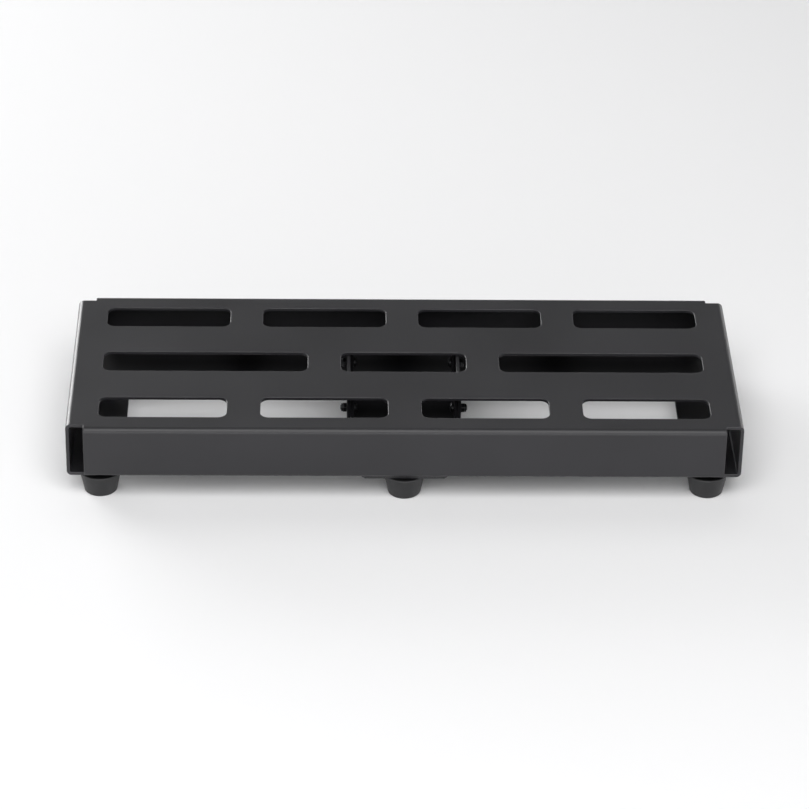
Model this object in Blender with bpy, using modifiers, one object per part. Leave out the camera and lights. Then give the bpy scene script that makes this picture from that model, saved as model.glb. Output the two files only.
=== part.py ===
"""Slotted pedalboard: one folded aluminium deck on six rubber feet, with a channel brace under it.

Metres, +Z up. The origin is on the floor under the middle of the board, +X runs to the right
and -Y is the front, where the player stands.
"""

import math

import bmesh
import bpy
from mathutils import Matrix, Vector

# Overall sizes
BOARD_LENGTH = 0.610
BOARD_DEPTH = 0.236
FOLD_HEIGHT = 0.054          # deck top down to the underside of the side returns
SHEET = 0.0032               # deck sheet thickness

# Folds of the deck
TOP_BEND = 0.005             # outer radius of the folds round the top
RETURN_BEND = 0.0045         # outer radius of the folds into the side returns
FLANGE_BEND = 0.0037         # outer radius of the folds into the front and rear returns
BEND_STEPS = 6
RETURN_WIDTH = 0.050         # width of each side return, from the board's end inwards
FLANGE_RETURN = 0.064        # width of the front and rear returns, from the board's face inwards
FLANGE_INSET = 0.016         # front and rear flanges stop this short of the board's ends
CHANNEL_SETBACK = 0.008      # side channels stop this short of the front and rear faces

# Slots
SLOT_ROWS = 3
EDGE_BAR = 0.0216            # solid deck between the front face and the first row
INNER_BAR = 0.0457           # solid deck between two rows
END_BAR = 0.0286             # solid deck between the board's end and a row
SLOT_BRIDGE = 0.0305         # solid deck between two slots of a row
SLOT_CORNER = 0.008
SLOTS_IN_OUTER_ROW = 4
CORNER_STEPS = 6

# Channel brace under the middle of the deck
BRACE_WIDTH = 0.104
BRACE_SHEET = 0.0032
BRACE_BEND = 0.005
BRACE_END_GAP = 0.0009       # tongue's end short of the inside of the front or rear flange
BRACE_WALL_GAP = 0.002       # end of the brace's walls to the front or rear return
TONGUE_WIDTH = 0.078
TONGUE_CORNER = 0.003

# Lugs that carry the brace
LUG_SHEET = 0.0025
LUG_BEND = 0.004
LUG_LENGTH = 0.022
LUG_FOOT = 0.022
LUG_SCREW_DROP = 0.0246      # deck top down to the screws through the brace's walls
LUG_EDGE = 0.009             # from those screws down to the lug's lower edge

# Feet
FOOT_HEIGHT = 0.0215         # floor to the underside of the sheet it is screwed to
FOOT_TOP_RADIUS = 0.0188
FOOT_BASE_RADIUS = 0.0150
FOOT_TOP_EDGE = 0.0008
FOOT_BASE_EDGE = 0.0015
FOOT_RECESS_DEPTH = 0.0115
CORNER_FOOT_INSET_X = 0.0296
CORNER_FOOT_INSET_Y = 0.0202
MIDDLE_FOOT_INSET_Y = 0.0178
TURN_STEPS = 28

# Screws, washers and nuts
SCREW_RADIUS = 0.0025
SCREW_HEAD_RADIUS = 0.00475
SCREW_HEAD_HEIGHT = 0.0033
SOCKET_RADIUS = 0.00173      # across the corners of the hex socket
SOCKET_DEPTH = 0.0018
SCREW_END = 0.0008           # thread showing past its nut
NUT_ACROSS_FLATS = 0.008
NUT_HEX_HEIGHT = 0.0035
NUT_COLLAR_RADIUS = 0.0037
NUT_COLLAR_HEIGHT = 0.0015
WASHER_RADIUS = 0.0065
WASHER_THICKNESS = 0.0012
SMALL_STEPS = 16

# Fits
GAP = 0.0003                 # between pieces that touch
HOLE_CLEARANCE = 0.0003      # round a screw in a sheet, washer, nut or foot
RECESS_CLEARANCE = 0.0005    # round a washer in its recess

# Heights and half sizes that follow
DECK_TOP = FOOT_HEIGHT + FOLD_HEIGHT
DECK_UNDERSIDE = DECK_TOP - SHEET
HALF_LENGTH = BOARD_LENGTH / 2
HALF_DEPTH = BOARD_DEPTH / 2
HOLE_RADIUS = SCREW_RADIUS + HOLE_CLEARANCE
NUT_HEIGHT = NUT_HEX_HEIGHT + NUT_COLLAR_HEIGHT
ROW_SPAN = BOARD_LENGTH - 2 * END_BAR
SLOT_WIDTH = (BOARD_DEPTH - 2 * EDGE_BAR - (SLOT_ROWS - 1) * INNER_BAR) / SLOT_ROWS
ROW_PITCH = SLOT_WIDTH + INNER_BAR
BRACE_HOLE_HEIGHT = DECK_TOP - LUG_SCREW_DROP

SIDES = {"left": -1, "right": 1}
ENDS = {"front": -1, "rear": 1}


def clear_scene():
    """Remove whatever the scene starts with."""
    for obj in list(bpy.data.objects):
        bpy.data.objects.remove(obj, do_unlink=True)


def make_collection(name):
    collection = bpy.data.collections.new(name)
    bpy.context.scene.collection.children.link(collection)
    return collection


def make_material(name, colour, roughness, metallic):
    material = bpy.data.materials.new(name)
    material.use_nodes = True
    shader = material.node_tree.nodes["Principled BSDF"]
    shader.inputs["Base Color"].default_value = (*colour, 1.0)
    shader.inputs["Roughness"].default_value = roughness
    shader.inputs["Metallic"].default_value = metallic
    return material


def make_object(name, source, collection):
    """Turn a bmesh into an object; the bmesh is freed."""
    mesh = bpy.data.meshes.new(name)
    source.to_mesh(mesh)
    source.free()
    obj = bpy.data.objects.new(name, mesh)
    collection.objects.link(obj)
    return obj


def as_cutter(obj):
    obj.hide_render = True
    obj.display_type = "WIRE"
    return obj


def cut(obj, cutter, operation="DIFFERENCE"):
    boolean = obj.modifiers.new(cutter.name, "BOOLEAN")
    boolean.operation = operation
    boolean.solver = "EXACT"
    boolean.object = cutter


def bake(obj):
    """Evaluate an object's modifiers, remove it and give back the finished mesh."""
    bpy.context.view_layer.update()
    graph = bpy.context.evaluated_depsgraph_get()
    mesh = bpy.data.meshes.new_from_object(obj.evaluated_get(graph))
    mesh.name = obj.name
    bpy.data.objects.remove(obj, do_unlink=True)
    return mesh


def shade_round(mesh):
    mesh.shade_smooth()
    mesh.set_sharp_from_angle(angle=math.radians(35))


def bend_path(radius, drop):
    """Offsets (outward, along) of a right-angle fold and the straight face after it."""
    path = []
    for step in range(1, BEND_STEPS + 1):
        turn = math.radians(90) * step / BEND_STEPS
        path.append((radius * math.sin(turn), radius * (1 - math.cos(turn))))
    path.append((radius, drop))
    return path


def returned_path(drop, bend, width):
    """Offsets of a face folded down round the top's edge and then folded back under it."""
    path = bend_path(TOP_BEND, drop - bend)
    for outward, along in bend_path(bend, width):
        path.append((TOP_BEND - along, drop - bend + outward))
    return path


def folded_sheet(name, outline, height, folds, fold_sign, thickness, collection):
    """Build a folded sheet from its outer face and give it thickness inwards.

    outline holds the flat face's corners, counter-clockwise as seen from outside. folds maps the
    index of a corner, where a folded edge starts, to that fold's outward direction and its path.
    fold_sign is -1 where the folds go down and +1 where they go up.
    """
    sheet = bmesh.new()
    corners = [sheet.verts.new((x, y, height)) for x, y in outline]
    sheet.faces.new(corners)
    for start, (direction, path) in folds.items():
        first = corners[start]
        second = corners[(start + 1) % len(corners)]
        roots = (first.co.copy(), second.co.copy())
        for outward, along in path:
            offset = Vector((direction[0] * outward, direction[1] * outward, fold_sign * along))
            next_first = sheet.verts.new(roots[0] + offset)
            next_second = sheet.verts.new(roots[1] + offset)
            sheet.faces.new((second, first, next_first, next_second))
            first = next_first
            second = next_second
    obj = make_object(name, sheet, collection)
    solidify = obj.modifiers.new("thickness", "SOLIDIFY")
    solidify.thickness = thickness
    solidify.offset = -1.0
    solidify.use_even_offset = True
    solidify.use_quality_normals = True
    return obj


def add_rounded_block(target, size, centre, radius, steps):
    """Add a block with its four upright edges rounded to a bmesh of cutters."""
    place = Matrix.Translation(centre) @ Matrix.Diagonal((*size, 1.0))
    block = bmesh.ops.create_cube(target, size=1.0, matrix=place)
    upright = {
        edge
        for vert in block["verts"]
        for edge in vert.link_edges
        if abs(edge.verts[0].co.z - edge.verts[1].co.z) > size[2] / 2
    }
    bmesh.ops.bevel(
        target, geom=list(upright), offset=radius, segments=steps, profile=0.5, affect="EDGES"
    )


def add_rod(target, radius, length, centre, axis="Z", steps=SMALL_STEPS):
    """Add a capped cylinder, or a prism when steps is small, to a bmesh."""
    turn = Matrix.Rotation(math.radians(90), 4, "Y") if axis == "X" else Matrix.Identity(4)
    bmesh.ops.create_cone(
        target, cap_ends=True, segments=steps, radius1=radius, radius2=radius, depth=length,
        matrix=Matrix.Translation(centre) @ turn,
    )


def turned(name, profile, closed, steps, collection):
    """Spin a profile of (radius, height) points, drawn down its outer side, round Z."""
    outline = bmesh.new()
    points = [outline.verts.new((radius, 0.0, height)) for radius, height in profile]
    pairs = list(zip(points, points[1:]))
    if closed:
        pairs.append((points[-1], points[0]))
    for pair in pairs:
        outline.edges.new(pair)
    obj = make_object(name, outline, collection)
    screw = obj.modifiers.new("turn", "SCREW")
    screw.steps = steps
    screw.render_steps = steps
    screw.use_merge_vertices = True
    screw.merge_threshold = 0.00001
    return obj


def row_centres():
    """Places along Y of the slot rows, front to rear."""
    first = -ROW_PITCH * (SLOT_ROWS - 1) / 2
    return [first + ROW_PITCH * row for row in range(SLOT_ROWS)]


def slot_spans(row):
    """Left and right ends of each slot in a row; the middle row has two long slots."""
    short = (ROW_SPAN - (SLOTS_IN_OUTER_ROW - 1) * SLOT_BRIDGE) / SLOTS_IN_OUTER_ROW
    if row % 2 == 0:
        lengths = [short] * SLOTS_IN_OUTER_ROW
    else:
        long = (ROW_SPAN - short - 2 * SLOT_BRIDGE) / 2
        lengths = [long, short, long]
    spans = []
    left = -ROW_SPAN / 2
    for length in lengths:
        spans.append((left, left + length))
        left += length + SLOT_BRIDGE
    return spans


def foot_places():
    """Name and place of each foot."""
    places = {}
    for end, toward in ENDS.items():
        corner_y = toward * (HALF_DEPTH - CORNER_FOOT_INSET_Y)
        middle_y = toward * (HALF_DEPTH - MIDDLE_FOOT_INSET_Y)
        places[f"{end}_left"] = (-(HALF_LENGTH - CORNER_FOOT_INSET_X), corner_y)
        places[f"{end}_middle"] = (0.0, middle_y)
        places[f"{end}_right"] = (HALF_LENGTH - CORNER_FOOT_INSET_X, corner_y)
    return places


def lug_places():
    """Name, side and place along the board of each lug, under the bars between the rows."""
    bar = ROW_PITCH / 2
    return {
        f"{end}_{side}": (across, toward * bar)
        for end, toward in ENDS.items()
        for side, across in SIDES.items()
    }


def make_deck(parts, cutters):
    """One sheet: slotted top, and a wall folded back under the deck along each of its edges.

    The front and rear returns lie on top of the side returns.
    """
    flat_x = HALF_LENGTH - TOP_BEND
    flat_y = HALF_DEPTH - TOP_BEND
    flange_x = HALF_LENGTH - FLANGE_INSET
    channel_y = HALF_DEPTH - CHANNEL_SETBACK
    outline = [
        (-flange_x, -flat_y), (flange_x, -flat_y), (flange_x, -channel_y), (flat_x, -channel_y),
        (flat_x, channel_y), (flange_x, channel_y), (flange_x, flat_y), (-flange_x, flat_y),
        (-flange_x, channel_y), (-flat_x, channel_y), (-flat_x, -channel_y), (-flange_x, -channel_y),
    ]
    flange = returned_path(FOLD_HEIGHT - SHEET - GAP, FLANGE_BEND, FLANGE_RETURN)
    channel = returned_path(FOLD_HEIGHT, RETURN_BEND, RETURN_WIDTH)
    folds = {
        0: ((0, -1), flange), 3: ((1, 0), channel), 6: ((0, 1), flange), 9: ((-1, 0), channel),
    }
    deck = folded_sheet("deck", outline, DECK_TOP, folds, -1, SHEET, parts)

    slots = bmesh.new()
    corner = min(SLOT_CORNER, SLOT_WIDTH / 2 - GAP)
    for row, y in enumerate(row_centres()):
        for left, right in slot_spans(row):
            size = (right - left, SLOT_WIDTH, 4 * SHEET)
            centre = ((left + right) / 2, y, DECK_TOP - SHEET / 2)
            add_rounded_block(slots, size, centre, corner, CORNER_STEPS)
    cut(deck, as_cutter(make_object("slot_cutter", slots, cutters)))

    holes = bmesh.new()
    for x, y in foot_places().values():
        add_rod(holes, HOLE_RADIUS, 6 * SHEET, (x, y, FOOT_HEIGHT + SHEET))
    cut(deck, as_cutter(make_object("foot_hole_cutter", holes, cutters)))
    return deck


def make_brace(parts, cutters):
    """Channel open to the deck, with a long tongue at each end that carries a middle foot."""
    web_x = BRACE_WIDTH / 2 - BRACE_BEND
    tongue_x = TONGUE_WIDTH / 2
    tongue_y = HALF_DEPTH - SHEET - BRACE_END_GAP
    wall_y = HALF_DEPTH - FLANGE_RETURN - BRACE_WALL_GAP
    outline = [
        (-web_x, wall_y), (-tongue_x, wall_y), (-tongue_x, tongue_y - TONGUE_CORNER),
        (-tongue_x + TONGUE_CORNER, tongue_y), (tongue_x - TONGUE_CORNER, tongue_y),
        (tongue_x, tongue_y - TONGUE_CORNER), (tongue_x, wall_y), (web_x, wall_y),
        (web_x, -wall_y), (tongue_x, -wall_y), (tongue_x, -tongue_y + TONGUE_CORNER),
        (tongue_x - TONGUE_CORNER, -tongue_y), (-tongue_x + TONGUE_CORNER, -tongue_y),
        (-tongue_x, -tongue_y + TONGUE_CORNER), (-tongue_x, -wall_y), (-web_x, -wall_y),
    ]
    wall = bend_path(BRACE_BEND, DECK_UNDERSIDE - GAP - FOOT_HEIGHT)
    folds = {7: ((1, 0), wall), 15: ((-1, 0), wall)}
    brace = folded_sheet("centre_brace", outline, FOOT_HEIGHT, folds, 1, BRACE_SHEET, parts)

    holes = bmesh.new()
    for name, (x, y) in foot_places().items():
        if "middle" in name:
            add_rod(holes, HOLE_RADIUS, 4 * BRACE_SHEET, (x, y, FOOT_HEIGHT + BRACE_SHEET / 2))
    for across, y in lug_places().values():
        centre = (across * (BRACE_WIDTH - BRACE_SHEET) / 2, y, BRACE_HOLE_HEIGHT)
        add_rod(holes, HOLE_RADIUS, 4 * BRACE_SHEET, centre, axis="X")
    cut(brace, as_cutter(make_object("brace_hole_cutter", holes, cutters)))
    return brace


def lug_mesh(parts, cutters):
    """Angle under the deck, drawn for the right-hand wall with its foot pointing to -X."""
    face_x = BRACE_WIDTH / 2 - BRACE_SHEET - GAP
    top = DECK_UNDERSIDE - GAP
    flat_x = face_x - LUG_BEND
    half = LUG_LENGTH / 2
    outline = [(face_x - LUG_FOOT, -half), (flat_x, -half), (flat_x, half), (face_x - LUG_FOOT, half)]
    leg = bend_path(LUG_BEND, top - (BRACE_HOLE_HEIGHT - LUG_EDGE))
    lug = folded_sheet("brace_lug", outline, top, {1: ((1, 0), leg)}, -1, LUG_SHEET, parts)
    hole = bmesh.new()
    add_rod(hole, HOLE_RADIUS, 4 * LUG_SHEET, (face_x, 0.0, BRACE_HOLE_HEIGHT), axis="X")
    cut(lug, as_cutter(make_object("lug_hole_cutter", hole, cutters)))
    return bake(lug)


def foot_mesh(parts):
    """Tapered rubber foot with a recess for the screw's head."""
    recess = WASHER_RADIUS + RECESS_CLEARANCE
    top = FOOT_HEIGHT - GAP
    profile = [(FOOT_TOP_RADIUS - FOOT_TOP_EDGE, top), (FOOT_TOP_RADIUS, top - FOOT_TOP_EDGE)]
    for step in range(4):
        turn = math.radians(90) * step / 3
        profile.append((
            FOOT_BASE_RADIUS - FOOT_BASE_EDGE * (1 - math.cos(turn)),
            FOOT_BASE_EDGE * (1 - math.sin(turn)),
        ))
    profile += [
        (recess, 0.0), (recess, FOOT_RECESS_DEPTH),
        (HOLE_RADIUS, FOOT_RECESS_DEPTH), (HOLE_RADIUS, top),
    ]
    return bake(turned("foot", profile, True, TURN_STEPS, parts))


def washer_mesh(parts):
    profile = [
        (WASHER_RADIUS, WASHER_THICKNESS), (WASHER_RADIUS, 0.0),
        (HOLE_RADIUS, 0.0), (HOLE_RADIUS, WASHER_THICKNESS),
    ]
    return bake(turned("foot_washer", profile, True, SMALL_STEPS, parts))


def screw_mesh(name, shank, parts, cutters):
    """Button-head screw standing on its head: bearing face at the origin, thread pointing up."""
    end_chamfer = SCREW_RADIUS / 5
    profile = [
        (0.0, shank), (SCREW_RADIUS - end_chamfer, shank), (SCREW_RADIUS, shank - end_chamfer),
        (SCREW_RADIUS, 0.0), (SCREW_HEAD_RADIUS, 0.0),
    ]
    crown = SOCKET_RADIUS + GAP
    for step in range(1, 5):
        turn = math.radians(90) * step / 4
        profile.append((
            crown + (SCREW_HEAD_RADIUS - crown) * math.cos(turn),
            -SCREW_HEAD_HEIGHT * (0.3 + 0.7 * math.sin(turn)),
        ))
    profile.append((0.0, -SCREW_HEAD_HEIGHT))
    screw = turned(name, profile, False, SMALL_STEPS, parts)
    socket = bmesh.new()
    add_rod(socket, SOCKET_RADIUS, 2 * SOCKET_DEPTH, (0.0, 0.0, -SCREW_HEAD_HEIGHT), steps=6)
    cut(screw, as_cutter(make_object(name + "_socket_cutter", socket, cutters)))
    return bake(screw)


def nut_mesh(parts, cutters):
    """Lock nut: hexagon with a round collar above it, bearing face at the origin."""
    corner = NUT_ACROSS_FLATS / 2 / math.cos(math.radians(30))
    hexagon = bmesh.new()
    add_rod(hexagon, corner, NUT_HEX_HEIGHT, (0.0, 0.0, NUT_HEX_HEIGHT / 2), steps=6)
    nut = make_object("lock_nut", hexagon, parts)
    collar = bmesh.new()
    start = NUT_HEX_HEIGHT / 2
    length = NUT_HEIGHT - start
    add_rod(collar, NUT_COLLAR_RADIUS, length, (0.0, 0.0, start + length / 2))
    cut(nut, as_cutter(make_object("nut_collar", collar, cutters)), "UNION")
    bore = bmesh.new()
    add_rod(bore, HOLE_RADIUS, 3 * NUT_HEIGHT, (0.0, 0.0, NUT_HEIGHT / 2))
    cut(nut, as_cutter(make_object("nut_bore_cutter", bore, cutters)))
    return bake(nut)


def place(name, mesh, material, collection, holder, location, turn=(0.0, 0.0, 0.0)):
    """Put one copy of a mesh in the model as its own named object."""
    own = mesh.copy()
    own.name = name
    own.materials.clear()
    own.materials.append(material)
    shade_round(own)
    obj = bpy.data.objects.new(name, own)
    obj.location = location
    obj.rotation_euler = turn
    obj.parent = holder
    collection.objects.link(obj)
    return obj


def place_feet(parts, cutters, holder, finishes):
    """Six feet, each with its washer, screw and nut, in one stack from the floor up."""
    washer_height = FOOT_RECESS_DEPTH - GAP - WASHER_THICKNESS
    head_height = washer_height - GAP
    nut_height = FOOT_HEIGHT + 2 * (SHEET + GAP)
    foot = foot_mesh(parts)
    washer = washer_mesh(parts)
    nut = nut_mesh(parts, cutters)
    screw = screw_mesh("foot_screw", nut_height + NUT_HEIGHT + SCREW_END - head_height, parts, cutters)
    for name, (x, y) in foot_places().items():
        place("foot_" + name, foot, finishes["rubber"], parts, holder, (x, y, 0.0))
        place("foot_washer_" + name, washer, finishes["zinc"], parts, holder, (x, y, washer_height))
        place("foot_screw_" + name, screw, finishes["steel"], parts, holder, (x, y, head_height))
        place("foot_nut_" + name, nut, finishes["steel"], parts, holder, (x, y, nut_height))


def place_brace_fixings(parts, cutters, holder, finishes):
    """Four lugs under the deck, each with a screw through the brace's wall and a nut outside it."""
    lug = lug_mesh(parts, cutters)
    nut = nut_mesh(parts, cutters)
    wall_face = BRACE_WIDTH / 2
    head_face = wall_face - BRACE_SHEET - GAP - LUG_SHEET - GAP
    nut_face = wall_face + GAP
    screw = screw_mesh("brace_screw", nut_face + NUT_HEIGHT + SCREW_END - head_face, parts, cutters)
    for name, (across, y) in lug_places().items():
        outward = (0.0, across * math.radians(90), 0.0)
        turn = (0.0, 0.0, 0.0 if across > 0 else math.radians(180))
        place("brace_lug_" + name, lug, finishes["coat"], parts, holder, (0.0, y, 0.0), turn)
        place(
            "brace_screw_" + name, screw, finishes["steel"], parts, holder,
            (across * head_face, y, BRACE_HOLE_HEIGHT), outward,
        )
        place(
            "brace_nut_" + name, nut, finishes["steel"], parts, holder,
            (across * nut_face, y, BRACE_HOLE_HEIGHT), outward,
        )


def main():
    clear_scene()
    parts = make_collection("pedalboard")
    cutters = make_collection("cutters")
    holder = bpy.data.objects.new("pedalboard_origin", None)
    parts.objects.link(holder)
    finishes = {
        "coat": make_material("black_powder_coat", (0.045, 0.045, 0.048), 0.5, 0.0),
        "rubber": make_material("dark_rubber", (0.035, 0.035, 0.037), 0.8, 0.0),
        "steel": make_material("blackened_steel", (0.06, 0.06, 0.065), 0.4, 0.9),
        "zinc": make_material("zinc_plated_steel", (0.55, 0.56, 0.58), 0.35, 1.0),
    }
    for sheet in (make_deck(parts, cutters), make_brace(parts, cutters)):
        sheet.data.materials.append(finishes["coat"])
        sheet.parent = holder
    place_feet(parts, cutters, holder, finishes)
    place_brace_fixings(parts, cutters, holder, finishes)
    # The small pieces are finished meshes now, so only the two sheets still need their cutters.
    for cutter in list(cutters.objects):
        if not any(
            modifier.type == "BOOLEAN" and modifier.object == cutter
            for obj in parts.objects
            for modifier in obj.modifiers
        ):
            bpy.data.objects.remove(cutter, do_unlink=True)


main()
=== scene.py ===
"""Slotted pedalboard: one folded, powder-coated deck on six rubber feet, braced under the middle.

Every length is in metres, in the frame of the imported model: the origin is on the floor under
the middle of the board, +X runs to the right, -Y is the front and +Z is up.
"""

import logging
import math
from collections.abc import Callable, Iterable
from dataclasses import dataclass, field
from enum import Enum

import bmesh
import bpy
from mathutils import Matrix, Vector


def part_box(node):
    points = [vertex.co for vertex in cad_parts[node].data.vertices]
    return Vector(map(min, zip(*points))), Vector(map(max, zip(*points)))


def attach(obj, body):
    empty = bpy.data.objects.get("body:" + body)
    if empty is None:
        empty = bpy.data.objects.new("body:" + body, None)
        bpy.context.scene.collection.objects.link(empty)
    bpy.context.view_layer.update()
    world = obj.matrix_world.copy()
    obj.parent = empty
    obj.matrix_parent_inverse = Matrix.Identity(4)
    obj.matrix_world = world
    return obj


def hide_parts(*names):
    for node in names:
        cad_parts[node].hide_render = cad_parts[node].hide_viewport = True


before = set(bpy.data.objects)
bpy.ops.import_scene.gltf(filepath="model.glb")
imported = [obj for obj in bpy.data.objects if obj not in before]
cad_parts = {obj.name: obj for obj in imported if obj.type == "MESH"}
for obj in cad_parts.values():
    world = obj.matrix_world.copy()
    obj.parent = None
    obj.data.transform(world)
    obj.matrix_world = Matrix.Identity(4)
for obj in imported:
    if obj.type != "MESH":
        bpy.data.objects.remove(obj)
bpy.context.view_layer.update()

LOG = logging.getLogger("pedalboard")

Point = tuple[float, float]
Ring = list[Vector]

EDGE_MARK = "edge_wear"
MM = 0.001
RIGHT_ANGLE = math.pi / 2
NARROW_FACE = 0.32 * MM
CORNER_TURN = math.radians(3.2)


class Slot(Enum):
    """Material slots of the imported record."""

    DECK_COAT = "deck_coat"
    BRACE_COAT = "brace_coat"
    FOOT_RUBBER = "foot_rubber"
    BLACK_HARDWARE = "black_hardware"
    WASHER_ZINC = "washer_zinc"


class Side(Enum):
    """Left or right half of the board, with its direction along X."""

    LEFT = -1
    RIGHT = 1


class End(Enum):
    """Front or rear edge of the board, with its direction along Y."""

    FRONT = -1
    REAR = 1


class Column(Enum):
    """Where along the board a foot stands."""

    LEFT = "left"
    MIDDLE = "middle"
    RIGHT = "right"


# ---------------------------------------------------------------------------------------------
# Finishes
# ---------------------------------------------------------------------------------------------


class Bench:
    """Lays shader nodes into one new material and wires them together."""

    def __init__(self, name: str) -> None:
        """Start a material with its principled shader.

        Args:
            name: Name of the material.
        """
        self.material = bpy.data.materials.new(name)
        self.material.use_nodes = True
        self.tree = self.material.node_tree
        self.shader = self.tree.nodes["Principled BSDF"]
        self.place = self.node("ShaderNodeTexCoord").outputs["Object"]
        mark = self.node("ShaderNodeAttribute")
        mark.attribute_name = EDGE_MARK
        self.edge = mark.outputs["Fac"]

    def node(self, kind: str) -> bpy.types.Node:
        """Add one node of a kind."""
        return self.tree.nodes.new(kind)

    def wire(self, source: bpy.types.NodeSocket, target: bpy.types.NodeSocket) -> None:
        """Link one socket to another."""
        self.tree.links.new(source, target)

    def fixed(self, **values: float) -> None:
        """Set constant values on the shader's own sockets.

        Args:
            values: Socket names with underscores for spaces, and their values.
        """
        for name, value in values.items():
            self.shader.inputs[name.replace("_", " ")].default_value = value

    def noise(self, scale: float, detail: float) -> bpy.types.NodeSocket:
        """Add a noise pattern.

        Args:
            scale: Cells per metre.
            detail: Number of finer octaves.

        Returns:
            The pattern, about 0 to 1.
        """
        noise = self.node("ShaderNodeTexNoise")
        noise.inputs["Scale"].default_value = scale
        noise.inputs["Detail"].default_value = detail
        self.wire(self.place, noise.inputs["Vector"])
        return noise.outputs["Fac"]

    def cells(self, scale: float) -> bpy.types.NodeSocket:
        """Add a pattern of round cells, given as the distance from each cell's middle."""
        cells = self.node("ShaderNodeTexVoronoi")
        cells.inputs["Scale"].default_value = scale
        self.wire(self.place, cells.inputs["Vector"])
        return cells.outputs["Distance"]

    def remap(
        self,
        source: bpy.types.NodeSocket,
        start: Point,
        finish: Point,
    ) -> bpy.types.NodeSocket:
        """Carry one range of values to another, clamped.

        Args:
            source: Values to carry over.
            start: Lowest and highest value going in.
            finish: Lowest and highest value coming out.

        Returns:
            The new values.
        """
        ranged = self.node("ShaderNodeMapRange")
        ranged.inputs["From Min"].default_value = start[0]
        ranged.inputs["From Max"].default_value = start[1]
        ranged.inputs["To Min"].default_value = finish[0]
        ranged.inputs["To Max"].default_value = finish[1]
        self.wire(source, ranged.inputs["Value"])
        return ranged.outputs["Result"]

    def combine(
        self,
        operation: str,
        first: bpy.types.NodeSocket,
        second: bpy.types.NodeSocket | float,
    ) -> bpy.types.NodeSocket:
        """Join two values with one arithmetic step.

        Args:
            operation: Name of the step, such as ADD or MULTIPLY.
            first: First value.
            second: Second value, from a socket or a plain number.

        Returns:
            The result.
        """
        step = self.node("ShaderNodeMath")
        step.operation = operation
        self.wire(first, step.inputs[0])
        if isinstance(second, float):
            step.inputs[1].default_value = second
        else:
            self.wire(second, step.inputs[1])
        return step.outputs[0]

    def blend_colours(
        self,
        factor: bpy.types.NodeSocket,
        first: bpy.types.NodeSocket | tuple[float, float, float],
        second: tuple[float, float, float],
    ) -> bpy.types.NodeSocket:
        """Fade from one colour to another.

        Args:
            factor: 0 gives the first colour and 1 the second.
            first: First colour, from a socket or as red, green and blue.
            second: Second colour.

        Returns:
            The mixed colour.
        """
        mix = self.node("ShaderNodeMix")
        mix.data_type = "RGBA"
        self.wire(factor, mix.inputs["Factor"])
        if isinstance(first, tuple):
            colour_socket(mix, "A").default_value = (*first, 1.0)
        else:
            self.wire(first, colour_socket(mix, "A"))
        colour_socket(mix, "B").default_value = (*second, 1.0)
        return next(out for out in mix.outputs if out.type == "RGBA")

    def bump(
        self,
        height: bpy.types.NodeSocket,
        depth: float,
        under: bpy.types.NodeSocket | None = None,
    ) -> bpy.types.NodeSocket:
        """Turn a height pattern into a surface relief.

        Args:
            height: Pattern, 0 to 1.
            depth: Height of the relief in metres.
            under: Relief that this one lies on, if any.

        Returns:
            The bent normal.
        """
        relief = self.node("ShaderNodeBump")
        relief.inputs["Distance"].default_value = depth
        self.wire(height, relief.inputs["Height"])
        if under is not None:
            self.wire(under, relief.inputs["Normal"])
        return relief.outputs["Normal"]

    def finish(
        self,
        colour: bpy.types.NodeSocket,
        roughness: bpy.types.NodeSocket,
        normal: bpy.types.NodeSocket,
    ) -> bpy.types.Material:
        """Wire the three changing values into the shader.

        Args:
            colour: Base colour.
            roughness: Roughness.
            normal: Surface relief.

        Returns:
            The finished material.
        """
        self.wire(colour, self.shader.inputs["Base Color"])
        self.wire(roughness, self.shader.inputs["Roughness"])
        self.wire(normal, self.shader.inputs["Normal"])
        return self.material


def colour_socket(mix: bpy.types.Node, name: str) -> bpy.types.NodeSocket:
    """Find a mix node's colour input, which shares its name with a number input."""
    return next(entry for entry in mix.inputs if entry.name == name and entry.type == "RGBA")


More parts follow.
